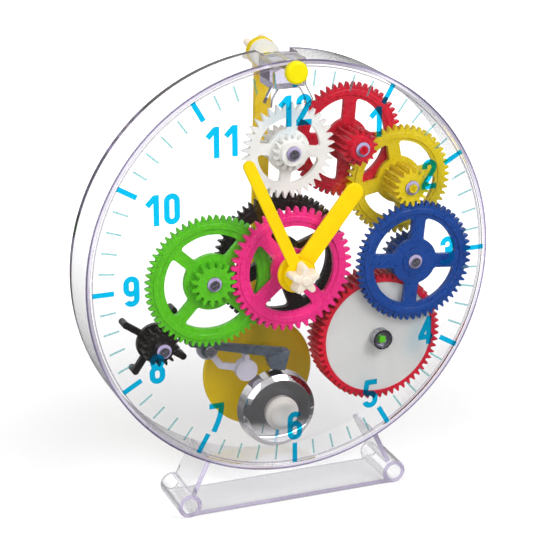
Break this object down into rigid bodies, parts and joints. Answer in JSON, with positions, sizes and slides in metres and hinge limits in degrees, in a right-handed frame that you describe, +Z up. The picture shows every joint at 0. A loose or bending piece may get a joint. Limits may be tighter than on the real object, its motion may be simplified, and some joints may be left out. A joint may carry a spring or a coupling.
{
  "type": "geared teaching clock",
  "caption": "Round see-through pendulum clock on a stand, with a spring barrel, a train of spoked toothed wheels, an anchor escapement, hands and a striking bell.",
  "frame": {"origin": "middle of the flat foot that the stand rests on", "axes": "+Z up, +Y from the dial into the clock, +X to the right as the dial is read"},
  "size_m": [0.195, 0.0664, 0.2137],
  "materials": {
    "clear_plastic": "clear, polished, with a faint lavender edge",
    "steel": "plain turned steel",
    "red_plastic": "smooth moulded",
    "light_grey_plastic": "smooth moulded",
    "green_plastic": "smooth moulded",
    "white_plastic": "smooth moulded",
    "blue_plastic": "smooth moulded",
    "yellow_plastic": "smooth moulded",
    "black_plastic": "smooth moulded",
    "pink_plastic": "smooth moulded",
    "cream_plastic": "milky moulded",
    "chrome": "mirror plated",
    "grey_plastic": "smooth moulded"
  },
  "bodies": {
    "case": {"case_back": "clear_plastic", "front_cover": "clear_plastic", "cover_screws": "steel", "stand": "clear_plastic", "barrel_bush": "steel", "click_screw": "steel", "bell": "chrome", "bell_cap": "grey_plastic", "hammer_pin": "steel", "hammer_bracket": "clear_plastic"},
    "barrel": {"barrel": "red_plastic", "barrel_cover": "light_grey_plastic", "mainspring": "steel"},
    "winder": {"barrel_arbor": "green_plastic", "arbor_clip": "steel", "ratchet_wheel": "white_plastic", "winding_key": "green_plastic"},
    "click": {"click": "white_plastic", "click_spring": "steel"},
    "blue": {"blue_wheel": "blue_plastic"},
    "yellow": {"yellow_wheel": "yellow_plastic"},
    "red": {"red_wheel": "red_plastic"},
    "escape": {"escape_wheel": "white_plastic"},
    "minute": {"centre_wheel": "black_plastic", "minute_arbor": "steel", "minute_pinion": "black_plastic", "minute_hand": "yellow_plastic", "hand_knob": "cream_plastic"},
    "green": {"green_wheel": "green_plastic"},
    "hour": {"hour_wheel": "pink_plastic", "hour_hand": "yellow_plastic"},
    "striker": {"striker_wheel": "black_plastic"},
    "pendulum": {"pallet_arbor": "yellow_plastic", "pallet_anchor": "clear_plastic", "arbor_head": "yellow_plastic", "pendulum_collar": "white_plastic", "pendulum_rod": "yellow_plastic", "pendulum_bob": "yellow_plastic", "pendulum_knob": "cream_plastic"},
    "hammer": {"hammer": "grey_plastic"}
  },
  "joints": [
    {"name": "blue_wheel_turn", "type": "hinge", "parent": "case", "child": "blue", "pos_m": [0.0615, 0, 0.11031], "axis": [0, 1, 0], "continuous": true},
    {"name": "barrel_turn", "type": "hinge", "parent": "case", "child": "barrel", "pos_m": [0.04562, 0, 0.0736], "axis": [0, 1, 0], "continuous": true},
    {"name": "minute_hand_turn", "type": "hinge", "parent": "case", "child": "minute", "pos_m": [0, 0, 0.1141], "axis": [0, 1, 0], "continuous": true},
    {"name": "hour_hand_turn", "type": "hinge", "parent": "case", "child": "hour", "pos_m": [0, 0, 0.1141], "axis": [0, 1, 0], "continuous": true},
    {"name": "green_wheel_turn", "type": "hinge", "parent": "case", "child": "green", "pos_m": [-0.03743, 0, 0.11175], "axis": [0, 1, 0], "continuous": true},
    {"name": "striker_turn", "type": "hinge", "parent": "case", "child": "striker", "pos_m": [-0.06168, 0, 0.08315], "axis": [0, 1, 0], "continuous": true},
    {"name": "yellow_wheel_turn", "type": "hinge", "parent": "case", "child": "yellow", "pos_m": [0.05924, 0, 0.14624], "axis": [0, 1, 0], "continuous": true},
    {"name": "red_wheel_turn", "type": "hinge", "parent": "case", "child": "red", "pos_m": [0.03427, 0, 0.16704], "axis": [0, 1, 0], "continuous": true},
    {"name": "escape_wheel_turn", "type": "hinge", "parent": "case", "child": "escape", "pos_m": [0.0008, 0, 0.1684], "axis": [0, 1, 0], "continuous": true},
    {"name": "pendulum_swing", "type": "hinge", "parent": "case", "child": "pendulum", "pos_m": [0.0008, 0, 0.2061], "axis": [0, 1, 0], "range_deg": [-4, 1]},
    {"name": "hammer_lift", "type": "hinge", "parent": "case", "child": "hammer", "pos_m": [-0.03418, 0, 0.07315], "axis": [0, -1, 0], "range_deg": [0, 12]},
    {"name": "winding", "type": "hinge", "parent": "case", "child": "winder", "pos_m": [0.04562, 0, 0.0736], "axis": [0, -1, 0], "range_deg": [0, 1440]},
    {"name": "click_lift", "type": "hinge", "parent": "case", "child": "click", "pos_m": [0.04684, 0, 0.08755], "axis": [0, 1, 0], "range_deg": [0, 12], "stiffness_Nm_per_rad": 0.0005, "springref_deg": -17.19}
  ],
  "couplings": [
    {"joint": "barrel_turn", "follows": "blue_wheel_turn", "ratio": -0.33333},
    {"joint": "minute_hand_turn", "follows": "blue_wheel_turn", "ratio": 0.32258},
    {"joint": "hour_hand_turn", "follows": "blue_wheel_turn", "ratio": 0.026882},
    {"joint": "green_wheel_turn", "follows": "blue_wheel_turn", "ratio": -0.080645},
    {"joint": "striker_turn", "follows": "blue_wheel_turn", "ratio": 0.32258},
    {"joint": "yellow_wheel_turn", "follows": "blue_wheel_turn", "ratio": -3.5},
    {"joint": "red_wheel_turn", "follows": "blue_wheel_turn", "ratio": 11.667},
    {"joint": "escape_wheel_turn", "follows": "blue_wheel_turn", "ratio": -40.444}
  ]
}
